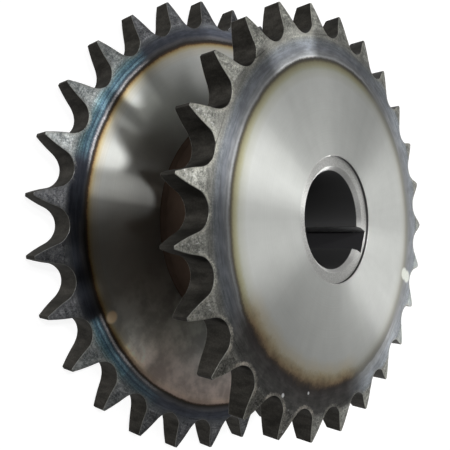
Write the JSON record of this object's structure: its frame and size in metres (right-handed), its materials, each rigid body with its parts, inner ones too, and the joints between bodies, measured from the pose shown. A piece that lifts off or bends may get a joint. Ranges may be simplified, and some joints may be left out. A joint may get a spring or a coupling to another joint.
{
  "type": "chain sprocket",
  "caption": "Double sprocket with a larger and a smaller toothed rim on one hub, each for its own roller chain, and a keyed central bore.",
  "frame": {"origin": "on the shaft axis, in the back face of the larger rim, which the part rests on", "axes": "+Z along the shaft axis, from the larger rim to the smaller one; +X points at the middle of the keyway"},
  "size_m": [0.128, 0.1286, 0.0397],
  "materials": {
    "steel": "ground faces, dark heat-tinted hardened teeth"
  },
  "bodies": {
    "root": {"sprocket": "steel"}
  },
  "joints": []
}
